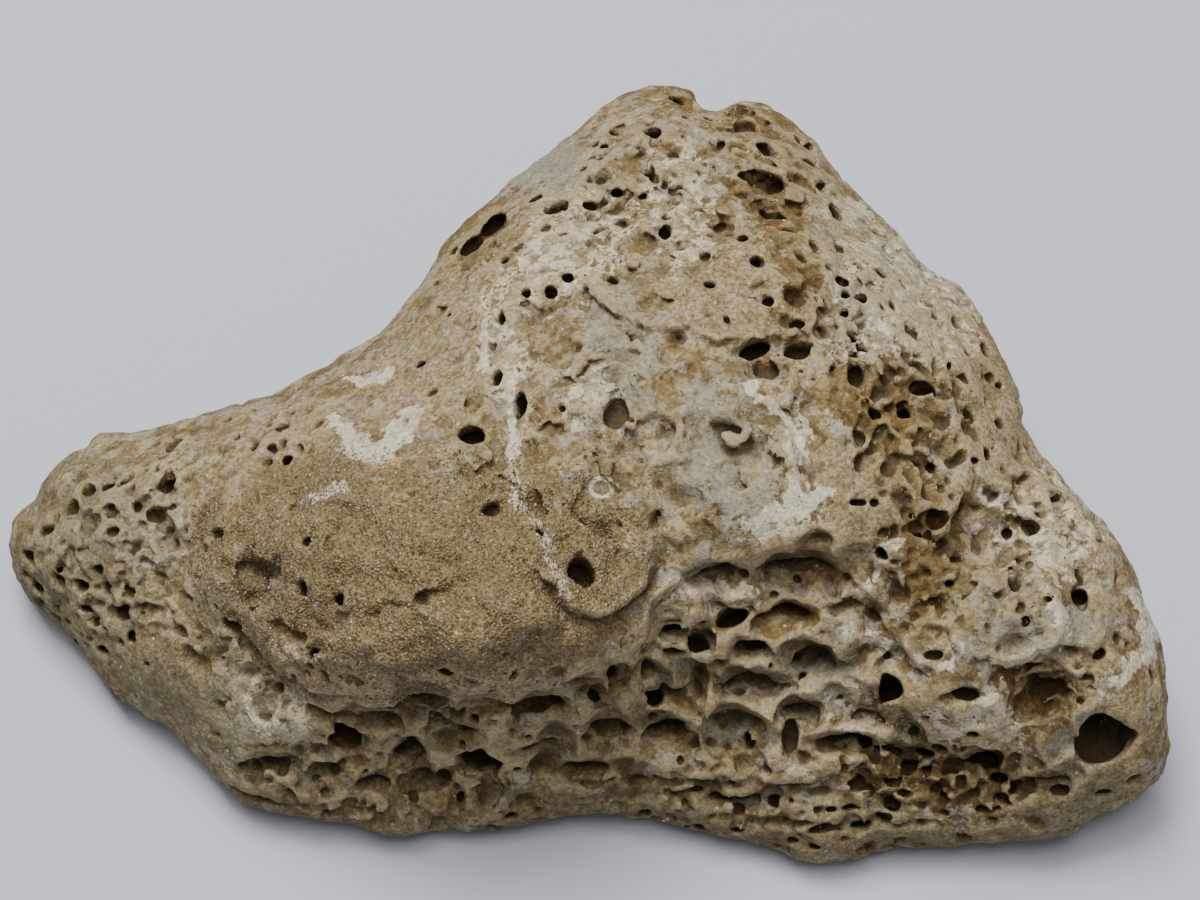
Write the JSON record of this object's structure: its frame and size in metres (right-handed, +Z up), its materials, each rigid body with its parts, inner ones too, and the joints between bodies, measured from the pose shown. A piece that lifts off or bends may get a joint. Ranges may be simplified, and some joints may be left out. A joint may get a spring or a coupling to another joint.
{
  "type": "holey limestone",
  "caption": "Sea-worn limestone, rounded triangle in outline with a drawn-out nose, bored full of round holes, with a honeycombed front flank; lies loose on a flat underside.",
  "frame": {"origin": "centre of the bounding box in plan, at the level of the flat underside that the stone lies on", "axes": "+Z up; +X along the stone's length, from the drawn-out nose to the broad end; -Y towards the honeycombed front flank"},
  "size_m": [0.1181, 0.0827, 0.0391],
  "materials": {
    "limestone": "rough, porous, sandy tan to chalk white limestone with rust-brown hollows"
  },
  "bodies": {
    "root": {"limestone": "limestone"}
  },
  "joints": []
}
